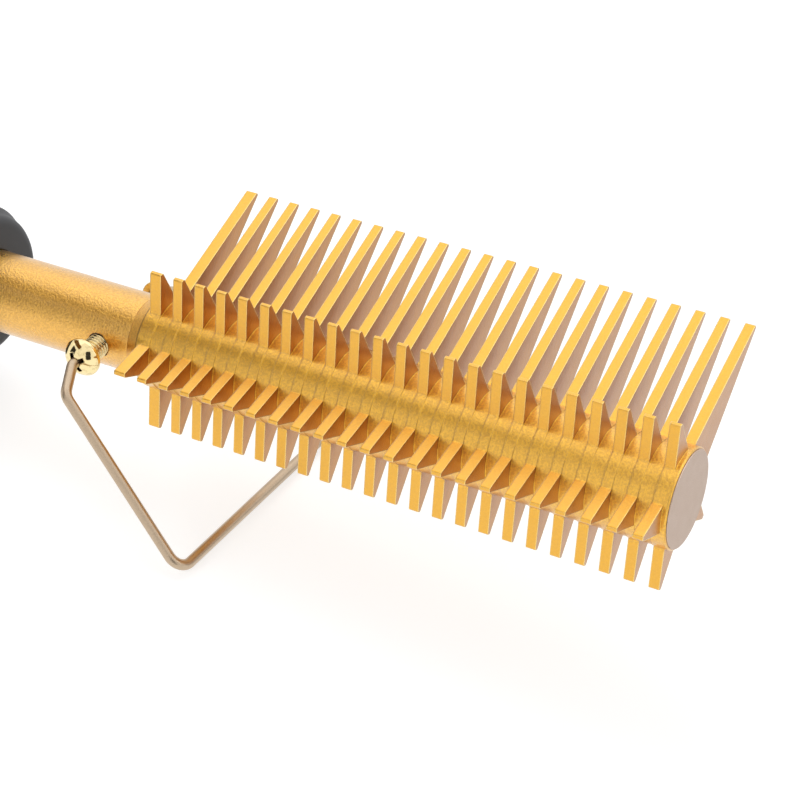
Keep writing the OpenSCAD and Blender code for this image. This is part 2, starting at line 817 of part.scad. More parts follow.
module sensor_plug() stance() color("ivory") {
    block([board_front - plug_l, -plug_w / 2, board_top], [board_front, plug_w / 2, board_top + plug_h]);
}

// ---- Tail ----

// Two wires from the contact block to the board's rear edge
module power_leads() stance() color("brown") {
    for (s = [-1, 1]) translate([0, s * lead_side, lead_z]) rod(block_x + block_t, board_back, lead_d / 2);
}

module swivel_contact_block() stance() color(white) {
    rod(block_x, block_x + block_t, block_r);
}

module tail_cap() stance() {
    edge = 3;
    color(black) difference() {
        turned() polygon(concat([[shell_end + cap_spigot_l, 0], [shell_end + cap_spigot_l, spigot_r],
            [shell_end, spigot_r], [shell_end, handle_tail_r]],
            arc(tail_cap_end + edge, handle_tail_r - edge, edge, 90, 180), [[tail_cap_end, 0]]));
        rod(tail_cap_end - past, shell_end + cap_spigot_l + past, tail_bore);
    }
}

// The gland turns in the tail cap: a flange inside, a neck, and a rounded end with the cord's bore
module cord_gland() stance() {
    color(black) difference() {
        union() {
            rod(gland_flange_back, gland_front, gland_flange_r);
            rod(gland_back - past, gland_front, gland_neck_r);
            turned() polygon(concat([[gland_back, 0], [gland_back, gland_r]],
                arc(gland_end + gland_edge, gland_r - gland_edge, gland_edge, 90, 180), [[gland_end, 0]]));
        }
        rod(gland_end - past, gland_end + cord_bore_l, cord_bore_r);
        rod(gland_end, gland_front + past, core_bore_r);
    }
}

comb_head();
nose_cap();
neck_tube();
ptc_heater();
heater_wedge_upper();
heater_wedge_lower();
thermistor();
thermal_fuse();
heater_leads();
lead_insulator();
stand_screws();
stand_wire();
heat_guard_collar();
neck_clamp();
handle_upper();
handle_lower();
handle_screws();
control_panel();
display_window();
display_module();
power_button();
plus_button();
minus_button();
tact_switches();
control_board();
board_screws();
sensor_plug();
power_leads();
swivel_contact_block();
tail_cap();
cord_gland();
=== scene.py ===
import json
import math

import bmesh
import bpy
from mathutils import Euler, Matrix, Quaternion, Vector


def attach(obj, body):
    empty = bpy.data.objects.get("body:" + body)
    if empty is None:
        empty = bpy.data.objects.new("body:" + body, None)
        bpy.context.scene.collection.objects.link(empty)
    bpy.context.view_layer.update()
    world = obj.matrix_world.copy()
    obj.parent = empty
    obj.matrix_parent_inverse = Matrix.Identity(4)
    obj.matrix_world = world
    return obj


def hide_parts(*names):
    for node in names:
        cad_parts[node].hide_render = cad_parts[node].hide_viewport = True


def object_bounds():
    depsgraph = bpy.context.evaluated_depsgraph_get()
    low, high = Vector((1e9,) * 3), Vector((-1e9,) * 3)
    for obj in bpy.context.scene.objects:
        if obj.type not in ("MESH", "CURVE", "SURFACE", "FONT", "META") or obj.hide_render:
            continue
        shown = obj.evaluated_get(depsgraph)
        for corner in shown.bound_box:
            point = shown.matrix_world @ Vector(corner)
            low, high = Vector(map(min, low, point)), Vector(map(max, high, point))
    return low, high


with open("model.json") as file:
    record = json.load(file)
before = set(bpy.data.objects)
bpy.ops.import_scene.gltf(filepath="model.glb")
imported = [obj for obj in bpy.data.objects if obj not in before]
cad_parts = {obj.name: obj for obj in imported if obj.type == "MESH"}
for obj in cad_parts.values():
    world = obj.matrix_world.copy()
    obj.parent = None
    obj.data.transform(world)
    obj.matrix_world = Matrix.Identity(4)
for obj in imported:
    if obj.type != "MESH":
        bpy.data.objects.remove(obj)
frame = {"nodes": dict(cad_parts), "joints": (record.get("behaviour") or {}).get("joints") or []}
CAD_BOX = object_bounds()
NODES = frame["nodes"]
JOINTS = {j["name"]: j for j in frame["joints"]}
MM = 0.001
WHITE = (1, 1, 1, 1)

# ---- Camera: where the photograph was taken from ----

CAMERA_PLACE = Vector((0.244156, -0.305504, 0.26867))
VIEW_AZIMUTH = math.radians(26.1715)
VIEW_ELEVATION = math.radians(34.4372)
VIEW_ROLL = math.radians(5.0816)
LENS_MM = 96.96
SENSOR_MM = 36.0
NEAREST_M = 0.01


def add_camera():
    flat = math.cos(VIEW_ELEVATION)
    back = Vector((math.sin(VIEW_AZIMUTH) * flat, -math.cos(VIEW_AZIMUTH) * flat,
                   math.sin(VIEW_ELEVATION)))
    camera = bpy.data.objects.new("camera", bpy.data.cameras.new("camera"))
    bpy.context.scene.collection.objects.link(camera)
    camera.location = CAMERA_PLACE
    camera.rotation_mode = "QUATERNION"
    level = (-back).to_track_quat("-Z", "Y")
    camera.rotation_quaternion = level @ Quaternion((0, 0, 1), VIEW_ROLL)
    camera.data.lens = LENS_MM
    camera.data.sensor_width = SENSOR_MM
    camera.data.clip_start = NEAREST_M
    bpy.context.scene.camera = camera


add_camera()

# ---- The barrel's own frame, taken from the gland's joint, which lies on the barrel's axis ----

AXIS = Vector(JOINTS["gland_swivel"]["axis"]).normalized()
if AXIS.x < 0:
    AXIS = -AXIS
SIDE = Vector((0, 1, 0))
UP = AXIS.cross(SIDE).normalized()
AXIS_POINT = Vector(JOINTS["gland_swivel"]["pos_m"])
BARREL = Matrix((AXIS, SIDE, UP)).transposed().to_4x4()
BARREL.translation = AXIS_POINT


def barrel_span(name):
    """Lowest and highest corner of a CAD node in the barrel's frame."""
    into = BARREL.inverted()
    points = [into @ v.co for v in NODES[name].data.vertices]
    return (Vector(min(p[i] for p in points) for i in range(3)),
            Vector(max(p[i] for p in points) for i in range(3)))


# ---- Helpers for colours and node materials ----

def srgb(*values):
    """A colour written as 0 to 255, as the screen shows it."""
    linear = [v / 255 / 12.92 if v <= 10 else ((v / 255 + 0.055) / 1.055) ** 2.4 for v in values]
    return (*linear, 1.0)


def shade(colour, *factors):
    """A colour with its red, green and blue each times a factor."""
    return tuple(c * f for c, f in zip(colour, factors)) + (1,)


def new_material(name):
    material = bpy.data.materials.new(name)
    material.use_nodes = True
    tree = material.node_tree
    return material, tree, tree.nodes["Principled BSDF"]


def put(tree, kind, inputs=None, **settings):
    """Adds a node; each input is given a plain value or another node's socket."""
    node = tree.nodes.new(kind)
    for key, value in settings.items():
        setattr(node, key, value)
    for key, value in (inputs or {}).items():
        if isinstance(value, bpy.types.NodeSocket):
            tree.links.new(value, node.inputs[key])
        else:
            node.inputs[key].default_value = value
    return node


def math_node(tree, operation, *values):
    return put(tree, "ShaderNodeMath", dict(enumerate(values)), operation=operation).outputs[0]


def times(tree, a, b):
    return math_node(tree, "MULTIPLY", a, b)


def one_minus(tree, value):
    return math_node(tree, "SUBTRACT", 1.0, value)


def ramp(tree, value, low, high):
    """0 where value is at low or before it, 1 where it is at high or past it."""
    return put(tree, "ShaderNodeMapRange", {"Value": value, "From Min": low, "From Max": high},
               interpolation_type="SMOOTHSTEP").outputs[0]


def mixed(tree, share, a, b, blend="MIX"):
    """Colour a where share is 0 and b, or b blended with a, where it is 1."""
    return put(tree, "ShaderNodeMix", {0: share, 6: a, 7: b}, data_type="RGBA",
               blend_type=blend).outputs[2]


def vector_math(tree, operation, *values):
    return put(tree, "ShaderNodeVectorMath", dict(enumerate(values)), operation=operation)


def barrel_coordinates(tree):
    """The object's coordinates in the barrel's frame, in millimetres."""
    where = put(tree, "ShaderNodeTexCoord")
    turn = (0, math.asin(AXIS.z), 0)
    shift = -(Euler(turn).to_matrix() @ AXIS_POINT) / MM
    return put(tree, "ShaderNodeMapping", {
        "Vector": where.outputs["Object"], "Rotation": turn, "Scale": (1 / MM, 1 / MM, 1 / MM),
        "Location": shift}).outputs[0]


def stretched(tree, where, factors, twist=0.0):
    """Barrel coordinates turned about the barrel's axis, then each times its factor."""
    twisted = put(tree, "ShaderNodeMapping", {"Vector": where, "Rotation": (twist, 0, 0)})
    return vector_math(tree, "MULTIPLY", twisted.outputs[0], factors).outputs[0]


def facing_along(tree, low, high):
    """1 on faces that look along the barrel, 0 on all others."""
    where = put(tree, "ShaderNodeTexCoord")
    along = vector_math(tree, "DOT_PRODUCT", where.outputs["Normal"], tuple(AXIS))
    return ramp(tree, math_node(tree, "ABSOLUTE", along.outputs["Value"]), low, high)


def near_axis(tree, where, low, high):
    """1 nearer to the barrel's axis than low, 0 further than high, in millimetres."""
    flat = vector_math(tree, "MULTIPLY", where, (0, 1, 1))
    radius = vector_math(tree, "LENGTH", flat.outputs[0])
    return one_minus(tree, ramp(tree, radius.outputs["Value"], low, high))


def noise(tree, where, scale, detail=2.0, rough=0.5):
    return put(tree, "ShaderNodeTexNoise", {"Vector": where, "Scale": scale, "Detail": detail,
               "Roughness": rough}).outputs[0]


def vary_roughness(tree, shader, value, smooth, rough, low=0.2, high=0.8):
    """Roughness from smooth to rough while value goes from low to high."""
    gloss = put(tree, "ShaderNodeMapRange", {"Value": value, "From Min": low, "From Max": high,
                "To Min": smooth, "To Max": rough})
    tree.links.new(gloss.outputs[0], shader.inputs["Roughness"])


def bump(tree, shader, height, strength, depth_mm, normal=None):
    """Fine relief, on the face's own normal or on a given one."""
    relief = put(tree, "ShaderNodeBump", {"Height": height, "Strength": strength,
                 "Distance": depth_mm * MM})
    if normal is not None:
        tree.links.new(normal, relief.inputs["Normal"])
    tree.links.new(relief.outputs[0], shader.inputs["Normal"])


# ---- Materials ----

def plain_metal(name, colour, roughness, grain=3.0, depth=0.01):
    """A metal with a fine grain in its surface and in its gloss."""
    material, tree, shader = new_material(name)
    shader.inputs["Metallic"].default_value = 1.0
    where = barrel_coordinates(tree)
    grains = noise(tree, where, grain)
    tone = mixed(tree, ramp(tree, grains, 0.3, 0.7), colour, shade(colour, 0.88, 0.88, 0.88))
    tree.links.new(tone, shader.inputs["Base Color"])
    vary_roughness(tree, shader, noise(tree, where, 0.35, 3.0), roughness * 0.85, roughness * 1.15)
    bump(tree, shader, grains, 0.6, depth)
    return material


def plastic(name, colour, roughness, grain=4.0, depth=0.01, coat=0.0):
    """Moulded plastic with the fine spark-eroded grain of its mould."""
    material, tree, shader = new_material(name)
    shader.inputs["IOR"].default_value = 1.5
    if coat:
        shader.inputs["Coat Weight"].default_value = coat
        shader.inputs["Coat Roughness"].default_value = 0.08
    where = barrel_coordinates(tree)
    grains = noise(tree, where, grain)
    cloud = noise(tree, where, 0.06, 3.0)
    light = tuple(min(1.0, c * 1.18) for c in colour[:3]) + (1,)
    tone = mixed(tree, ramp(tree, cloud, 0.3, 0.7), colour, light)
    tree.links.new(tone, shader.inputs["Base Color"])
    vary_roughness(tree, shader, cloud, roughness * 0.9, roughness * 1.1)
    bump(tree, shader, grains, 0.5, depth)
    return material


GOLD = (0.87, 0.445, 0.014, 1)
BARREL_GOLD = (1.0, 0.55, 0.028, 1)
CUT_GOLD = (0.60, 0.24, 0.012, 1)
TUBE_GOLD = (0.98, 0.55, 0.095, 1)
EDGE_HIGHLIGHT_GOLD = (1.0, 0.74, 0.25, 1)

# In millimetres: the barrel's turned skin fades out between two radii, a shoulder cone leads
# from the neck tube to the head, a painted shadow line lies at the cone's front, and edges are
# rounded.
TURNED_RADII = (10.1, 10.6)
NECK_FRONT = barrel_span("neck_tube")[1].x / MM
SHOULDER_LENGTH = 3.0
SHOULDER_FRONT = NECK_FRONT + SHOULDER_LENGTH
SHADOW_LINE_PLACE = SHOULDER_FRONT - 0.1
SHADOW_LINE_HALF_WIDTHS = (0.3, 0.12)
GOLD_EDGE = 0.42

RING_STRETCH = (7.0, 0.12, 0.12)
SAW_STRETCH = (0.5, 5.0, 0.45)
SAW_TWIST = math.radians(35)


def gold(name, colour, turned_colour, cut_colour, roughness, grain, contrast, depth, coat_ior):
    """Dyed anodised aluminium: sandblasted grain, turned lines on the barrel, sawn end faces, with
    a painted highlight and painted shade along the edges and a painted shadow line at the
    shoulder.
    """
    material, tree, shader = new_material(name)
    shader.inputs["Metallic"].default_value = 1.0
    shader.inputs["Coat Weight"].default_value = 1.0
    shader.inputs["Coat IOR"].default_value = coat_ior
    shader.inputs["Coat Roughness"].default_value = roughness

    # Where the surface is barrel, sawn face, shoulder cone and the painted shadow line.
    where = barrel_coordinates(tree)
    on_barrel = near_axis(tree, where, *TURNED_RADII)
    cut = facing_along(tree, 0.9, 0.97)
    along = put(tree, "ShaderNodeSeparateXYZ", {0: where}).outputs["X"]
    cone = times(tree, ramp(tree, along, SHOULDER_FRONT + 0.02, SHOULDER_FRONT - 0.04),
                 ramp(tree, along, NECK_FRONT - 0.04, NECK_FRONT + 0.02))
    step_shadow = math_node(tree, "ABSOLUTE", math_node(tree, "SUBTRACT", along, SHADOW_LINE_PLACE))
    step_shadow = times(tree, ramp(tree, step_shadow, *SHADOW_LINE_HALF_WIDTHS), on_barrel)

    # Blasted specks, turned rings and saw marks.
    coarse = ramp(tree, noise(tree, where, grain, 2.0, 0.6), 0.36, 0.64)
    fine = ramp(tree, noise(tree, where, grain * 2.6, 1.0), 0.36, 0.64)
    speck = math_node(tree, "ADD", times(tree, coarse, 0.8), times(tree, fine, 0.2))
    rings = ramp(tree, noise(tree, stretched(tree, where, RING_STRETCH), 1.0, 2.0), 0.3, 0.7)
    saw = noise(tree, stretched(tree, where, SAW_STRETCH, SAW_TWIST), 1.0, 2.0)
    saw = ramp(tree, saw, 0.3, 0.7)

    # The skin's colour, then the sawn faces'.
    base = mixed(tree, on_barrel, colour, turned_colour)
    base = mixed(tree, cone, base, TUBE_GOLD)
    spots = shade(WHITE, 1 - contrast, 1 - 1.25 * contrast, 1 - 1.5 * contrast)
    spotted = mixed(tree, 1.0, base, spots, blend="MULTIPLY")
    spot_share = times(tree, one_minus(tree, speck), ramp(tree, on_barrel, -0.5, 1.0))
    body = mixed(tree, spot_share, base, spotted)
    ring_share = times(tree, one_minus(tree, rings), times(tree, on_barrel, 0.3))
    body = mixed(tree, ring_share, body, shade(colour, 0.72, 0.68, 0.6))
    # Painted shadow: a dark line where the shoulder cone meets the head.
    body = mixed(tree, times(tree, step_shadow, 0.7), body, shade(colour, 0.3, 0.24, 0.2))
    sawn = mixed(tree, saw, shade(cut_colour, 0.86, 0.84, 0.8), cut_colour)

    # A painted highlight as a pale line on the edges, and a painted shade line beside it on the
    # sawn faces.
    rounded = put(tree, "ShaderNodeBevel", {"Radius": GOLD_EDGE * MM}, samples=8).outputs[0]
    faced = put(tree, "ShaderNodeNewGeometry").outputs["Normal"]
    turned = vector_math(tree, "DOT_PRODUCT", rounded, faced).outputs["Value"]
    corner = one_minus(tree, turned)
    edge_highlight = ramp(tree, corner, 0.06, 0.13)
    edge_shade_line = times(tree, ramp(tree, corner, 0.006, 0.02), ramp(tree, corner, 0.1, 0.07))
    edge_shade_line = times(tree, edge_shade_line, times(tree, cut, 0.8))
    off_barrel = one_minus(tree, times(tree, on_barrel, 0.8))
    skin = mixed(tree, cut, body, sawn)
    # Painted shade line beside the edges, then the painted highlight on them.
    skin = mixed(tree, edge_shade_line, skin, shade(colour, 0.28, 0.2, 0.1))
    skin = mixed(tree, times(tree, edge_highlight, off_barrel), skin, EDGE_HIGHLIGHT_GOLD)
    tree.links.new(skin, shader.inputs["Base Color"])

    tree.links.new(one_minus(tree, times(tree, cone, 0.7)), shader.inputs["Coat Weight"])
    vary_roughness(tree, shader, noise(tree, where, 0.25, 3.0), roughness * 0.88,
                   roughness * 1.12)
    bump(tree, shader, mixed(tree, cut, speck, saw), 0.6, depth, rounded)
    return material


gold_head = gold("gold_anodised_head", GOLD, BARREL_GOLD, CUT_GOLD, roughness=0.33, grain=2.2,
                 contrast=0.24, depth=0.04, coat_ior=1.7)
gold_tube = gold("gold_anodised_tube", TUBE_GOLD, TUBE_GOLD, CUT_GOLD, roughness=0.29, grain=2.2,
                 contrast=0.24, depth=0.08, coat_ior=1.55)
nose_metal = plain_metal("nose_satin", (0.64, 0.495, 0.4, 1), 0.42, grain=5.0, depth=0.004)

SCREW_GOLD = (0.95, 0.78, 0.42, 1)
SCREW_SHADOW = (0.22, 0.11, 0.02, 1)
SCREW_EDGE = 0.25
SHADOW_REACH = 1.6


def polished(name, colour, deep_colour, roughness):
    """A bright plated metal with painted shade where it is closed in, and softly rounded edges."""
    material, tree, shader = new_material(name)
    shader.inputs["Metallic"].default_value = 1.0
    where = barrel_coordinates(tree)
    shut = put(tree, "ShaderNodeAmbientOcclusion", {"Distance": SHADOW_REACH * MM}, samples=8,
               only_local=True)
    wear = noise(tree, where, 1.2, 3.0)
    # Painted shade: towards the shadow colour where ambient occlusion finds the surface closed in.
    tone = mixed(tree, ramp(tree, shut.outputs["AO"], 0.35, 0.97), deep_colour, colour)
    tone = mixed(tree, times(tree, ramp(tree, wear, 0.45, 0.75), 0.3), tone, deep_colour)
    tree.links.new(tone, shader.inputs["Base Color"])
    vary_roughness(tree, shader, wear, roughness * 0.7, roughness * 1.4, low=0.3, high=0.7)
    rounded = put(tree, "ShaderNodeBevel", {"Radius": SCREW_EDGE * MM}, samples=6).outputs[0]
    bump(tree, shader, noise(tree, where, 0.9, 2.0), 0.35, 0.05, rounded)
    return material


screw_gold = polished("screw_brass_plate", SCREW_GOLD, SCREW_SHADOW, 0.06)
wire_steel = plain_metal("wire_champagne", (0.58, 0.45, 0.32, 1), 0.36, grain=5.0, depth=0.004)
steel = plain_metal("screw_zinc", srgb(190, 190, 192), 0.3)
aluminium = plain_metal("wedge_aluminium", srgb(205, 207, 210), 0.35)
charcoal = plastic("handle_charcoal", srgb(60, 61, 64), 0.5)
black_gloss = plastic("panel_black", srgb(18, 18, 20), 0.16, grain=1.0, depth=0.001, coat=0.6)
window_black = plastic("window_smoke", srgb(8, 9, 11), 0.05, grain=1.0, depth=0.0005, coat=0.8)
button_grey = plastic("button_satin", srgb(92, 93, 97), 0.38, grain=6.0, depth=0.004)
gland_black = plastic("gland_black", srgb(26, 26, 28), 0.5)
inner_white = plastic("inner_white", srgb(225, 222, 214), 0.45)
ceramic = plastic("ceramic", srgb(228, 222, 208), 0.6)
insulation = plastic("insulation_red", srgb(150, 30, 24), 0.45)
board_green = plastic("board_green", srgb(24, 86, 52), 0.35)
sign_white = plastic("sign_white", srgb(228, 228, 226), 0.5)

SLOT_LOOKS = {
    "gold_head": gold_head, "nose_metal": nose_metal, "gold_tube": gold_tube,
    "heater_ceramic": ceramic, "wedge_aluminium": aluminium, "wire_insulation": insulation,
    "screw_gold": screw_gold, "stand_steel": wire_steel, "handle_plastic": charcoal,
    "inner_plastic": inner_white, "screw_steel": steel, "panel_gloss": black_gloss,
    "window_clear": window_black, "display": window_black, "button_plastic": button_grey,
    "board": board_green, "gland_plastic": gland_black,
}

for node_object in NODES.values():
    for slot in node_object.material_slots:
        slot.material = SLOT_LOOKS[slot.material.name.split(".")[0]]


# ---- Smooth shading and rounded edges on the CAD nodes ----

CREASE = math.radians(28)
FLAT = math.radians(0.4)
WELD_M = 2e-6
EDGE_SEGMENTS = 2


def smooth_group():
    """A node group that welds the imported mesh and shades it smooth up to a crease."""
    tree = bpy.data.node_groups.new("weld_and_smooth", "GeometryNodeTree")
    tree.interface.new_socket("Geometry", in_out="INPUT", socket_type="NodeSocketGeometry")
    tree.interface.new_socket("Geometry", in_out="OUTPUT", socket_type="NodeSocketGeometry")
    into = tree.nodes.new("NodeGroupInput")
    out = tree.nodes.new("NodeGroupOutput")
    weld = put(tree, "GeometryNodeMergeByDistance", {"Geometry": into.outputs[0],
               "Distance": WELD_M})
    faces = put(tree, "GeometryNodeSetShadeSmooth", {"Geometry": weld.outputs[0]}, domain="FACE")
    corner = put(tree, "GeometryNodeInputMeshEdgeAngle")
    sharp = put(tree, "FunctionNodeCompare", {0: corner.outputs["Unsigned Angle"], 1: CREASE},
                data_type="FLOAT", operation="GREATER_THAN")
    edges = put(tree, "GeometryNodeSetShadeSmooth", {"Geometry": faces.outputs[0],
                "Selection": sharp.outputs[0], "Shade Smooth": False}, domain="EDGE")
    tree.links.new(edges.outputs[0], out.inputs[0])
    return tree


SMOOTH = smooth_group()


def smooth(piece):
    piece.modifiers.new("weld", "NODES").node_group = SMOOTH


def soften(names, edge_mm):
    """Shades CAD nodes smooth and rounds their edges by modifiers."""
    for name in names:
        smooth(NODES[name])
        flat = NODES[name].modifiers.new("flat", "DECIMATE")
        flat.decimate_type = "DISSOLVE"
        flat.angle_limit = FLAT
        edge = NODES[name].modifiers.new("edge", "BEVEL")
        edge.width = edge_mm * MM
        edge.segments = EDGE_SEGMENTS
        edge.limit_method = "ANGLE"
        edge.angle_limit = CREASE
        edge.use_clamp_overlap = True
        edge.harden_normals = True


soften(("nose_cap", "heat_guard_collar", "tail_cap", "cord_gland", "control_panel",
        "power_button", "plus_button", "minus_button"), edge_mm=0.12)
soften(("handle_upper", "handle_lower"), edge_mm=0.1)
for plain in ("comb_head", "neck_tube", "stand_wire", "stand_screws", "handle_screws",
              "display_window"):
    smooth(NODES[plain])


# ---- Stand screws: domed heads with a cross recess, threaded shanks; in millimetres ----

HEAD_HEIGHT = 3.4
HEAD_PLAY = 0.02
SEAT_R = 2.3
# The rim's corners: how far in from the head's radius and how far up from its seat.
RIM_CORNERS = ((0.3, 0.02), (0.08, 0.12), (0.0, 0.34), (0.0, 0.78))
DOME_R = 4.51
DOME_ROWS = 14
DOME_PLAY = 0.01
DOME_TIP_R = 0.05
CROSS_TURNS = (math.radians(28), math.radians(118))
CROSS_DEPTH = 1.9
CROSS_FLOOR = (1.5, 0.36)
CROSS_MOUTH = (2.6, 0.58)
BORE_R = 1.18
BORE_DEPTH = 2.9
CUT_PAST = 0.4
SHANK_START = 7.6
SHANK_IN_HEAD = 0.1
THREAD_MINOR_R = 2.06
THREAD_MAJOR_R = 2.44
THREAD_PITCH = 0.8
ROWS_PER_PITCH = 10
SAME_POINT_M = 1e-7


def link_mesh(name, mesh):
    piece = bpy.data.objects.new(name, mesh)
    bpy.context.scene.collection.objects.link(piece)
    return piece


def closed_mesh(name, points, faces):
    mesh = bpy.data.meshes.new(name)
    mesh.from_pydata([tuple(p) for p in points], [], faces)
    work = bmesh.new()
    work.from_mesh(mesh)
    bmesh.ops.remove_doubles(work, verts=work.verts, dist=SAME_POINT_M)
    bmesh.ops.recalc_face_normals(work, faces=work.faces)
    work.to_mesh(mesh)
    work.free()
    return mesh


def ring_body(place, rings):
    """Points and faces of a body closed at both ends; a ring is its height and its radii."""
    steps = len(rings[0][1])
    points = [place(radius * math.cos(2 * math.pi * i / steps),
                    radius * math.sin(2 * math.pi * i / steps), height)
              for height, radii in rings for i, radius in enumerate(radii)]
    faces = [(row + i, row + (i + 1) % steps, row + steps + (i + 1) % steps, row + steps + i)
             for row in range(0, (len(rings) - 1) * steps, steps) for i in range(steps)]
    ends = [tuple(range(start, start + steps)) for start in (0, (len(rings) - 1) * steps)]
    return points, faces + ends


def lathe(profile, place, steps=64):
    """Points and faces of a turned body; the profile's points are (radius, height)."""
    return ring_body(place, [(height, [radius] * steps) for radius, height in profile])


def threaded(place, low, high, minor, major, pitch, steps=48):
    """A shank with a helical thread, closed at both ends."""
    def radius(height, i):
        turn = ((height / pitch) - i / steps) % 1.0
        flank = min(1.0, max(0.0, 1.5 - 3.0 * abs(turn - 0.5)))
        return major - (major - minor) * flank
    rows = int((high - low) / (pitch / ROWS_PER_PITCH)) + 1
    heights = [low + (high - low) * row / rows for row in range(rows + 1)]
    return ring_body(place, [(height, [radius(height, i) for i in range(steps)])
                             for height in heights])


def frustum(place, angle, low, high, half_low, half_high):
    """A tapered box for one arm of the cross recess."""
    points = []
    for height, (half_l, half_w) in ((low, half_low), (high, half_high)):
        for u, v in ((-half_l, -half_w), (half_l, -half_w), (half_l, half_w), (-half_l, half_w)):
            points.append(place(u * math.cos(angle) - v * math.sin(angle),
                                u * math.sin(angle) + v * math.cos(angle), height))
    return points, [(0, 1, 2, 3), (4, 5, 6, 7), (0, 1, 5, 4), (1, 2, 6, 5), (2, 3, 7, 6),
                    (3, 0, 4, 7)]


def cut_away(body, cutters):
    """The body's mesh after each cutter is taken away from it."""
    piece = link_mesh("cut_body", body)
    tools = [link_mesh("cutter", mesh) for mesh in cutters]
    for tool in tools:
        step = piece.modifiers.new("cut", "BOOLEAN")
        step.operation = "DIFFERENCE"
        step.solver = "EXACT"
        step.object = tool
    bpy.context.view_layer.update()
    shown = piece.evaluated_get(bpy.context.evaluated_depsgraph_get())
    result = bpy.data.meshes.new_from_object(shown)
    for extra in [piece] + tools:
        bpy.data.objects.remove(extra)
    return result


def add_screws():
    low, high = barrel_span("stand_screws")
    pivot = (low.x + high.x) / 2
    top = high.y / MM
    head_r = (high.x - low.x) / 2 / MM - HEAD_PLAY
    base = top - HEAD_HEIGHT
    dome_edge = math.asin(head_r / DOME_R)
    dome = [(DOME_R * math.sin(dome_edge * i / DOME_ROWS),
             top - DOME_PLAY - DOME_R + DOME_R * math.cos(dome_edge * i / DOME_ROWS))
            for i in range(DOME_ROWS, 0, -1)]
    rim = [(head_r - inward, base + rise) for inward, rise in RIM_CORNERS]
    profile = [(SEAT_R, rim[0][1])] + rim + dome + [(DOME_TIP_R, top - DOME_PLAY)]
    work = bmesh.new()
    for side in (-1, 1):
        def place(u, v, w):
            return BARREL @ Vector((pivot + u * MM, side * w * MM, v * MM))
        head = closed_mesh("head", *lathe(profile, place))
        arms = [closed_mesh("arm", *frustum(place, turn, top - CROSS_DEPTH, top + CUT_PAST,
                                            CROSS_FLOOR, CROSS_MOUTH)) for turn in CROSS_TURNS]
        bore = closed_mesh("bore", *lathe([(BORE_R, top - BORE_DEPTH), (BORE_R, top + CUT_PAST)],
                                          place, steps=32))
        work.from_mesh(cut_away(head, arms + [bore]))
        work.from_mesh(closed_mesh("shank", *threaded(place, SHANK_START, base + SHANK_IN_HEAD,
                                                      THREAD_MINOR_R, THREAD_MAJOR_R,
                                                      THREAD_PITCH)))
    mesh = bpy.data.meshes.new("screws_detailed")
    work.to_mesh(mesh)
    work.free()
    mesh.materials.append(screw_gold)
    screws = link_mesh("screws_detailed", mesh)
    smooth(screws)
    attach(screws, "root")
    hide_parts("stand_screws")


add_screws()


# ---- Plain signs, slightly raised, on the buttons; in millimetres ----

SIGN_ARM = 1.35
SIGN_HALF_W = 0.2
POWER_R = 1.5
POWER_HALF_W = 0.19
POWER_GAP_DEG = 38
POWER_BAR_HALF_L = 0.75
POWER_BAR_PLACE = 1.3
SIGN_HEIGHTS = (-0.05, 0.03)


def bar(half_l, half_w, x=0.0):
    return [(x - half_l, -half_w), (x + half_l, -half_w), (x + half_l, half_w),
            (x - half_l, half_w)]


def ring_part(radius, half_w, start, end, steps=28):
    """Short blocks side by side along an arc."""
    turns = [math.radians(start + (end - start) * i / steps) for i in range(steps + 1)]
    near, far = radius - half_w, radius + half_w
    return [[(r * math.cos(a), r * math.sin(a))
             for r, a in ((near, a0), (far, a0), (far, a1), (near, a1))]
            for a0, a1 in zip(turns, turns[1:])]


def plus_shape(arm, half_w):
    upright = [[(-half_w, y0), (half_w, y0), (half_w, y1), (-half_w, y1)]
               for y0, y1 in ((-arm, -half_w), (half_w, arm))]
    return [bar(arm, half_w)] + upright


def add_sign(name, button, outlines):
    low, high = barrel_span(button)
    middle = Vector(((low.x + high.x) / 2, (low.y + high.y) / 2))
    work = bmesh.new()
    for outline in outlines:
        rings = [[work.verts.new(BARREL @ Vector((middle.x + x * MM, middle.y + y * MM,
                                                  high.z + z * MM))) for x, y in outline]
                 for z in SIGN_HEIGHTS]
        count = len(outline)
        for i in range(count):
            j = (i + 1) % count
            work.faces.new((rings[0][i], rings[0][j], rings[1][j], rings[1][i]))
        work.faces.new(rings[1])
        work.faces.new(list(reversed(rings[0])))
    bmesh.ops.recalc_face_normals(work, faces=work.faces)
    mesh = bpy.data.meshes.new(name)
    work.to_mesh(mesh)
    work.free()
    mesh.materials.append(sign_white)
    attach(link_mesh(name, mesh), button)


add_sign("plus_sign", "plus_button", plus_shape(SIGN_ARM, SIGN_HALF_W))
add_sign("minus_sign", "minus_button", [bar(SIGN_ARM, SIGN_HALF_W)])
add_sign("power_sign", "power_button",
         ring_part(POWER_R, POWER_HALF_W, POWER_GAP_DEG, 360 - POWER_GAP_DEG)
         + [bar(POWER_BAR_HALF_L, POWER_HALF_W, POWER_BAR_PLACE)])


# ---- Floor, lamps and world ----

FLOOR_HALF = 3.0
FLOOR_DROP = 0.0002
FLOOR_GREY = 0.5
FLOOR_GLOW = 0.7
MIRRORED_GLOW = 1.1
MIRRORED_SHADOW_GREY = 0.86
ROOM_LIGHT = 0.55


def surface(tree, output, shader):
    tree.links.new(shader.outputs[0], tree.nodes[output].inputs["Surface"])


def sheet(name, half_w, half_h):
    """A flat rectangle about its own origin."""
    mesh = bpy.data.meshes.new(name)
    mesh.from_pydata([(-half_w, -half_h, 0), (half_w, -half_h, 0), (half_w, half_h, 0),
                      (-half_w, half_h, 0)], [], [(0, 1, 2, 3)])
    return link_mesh(name, mesh)


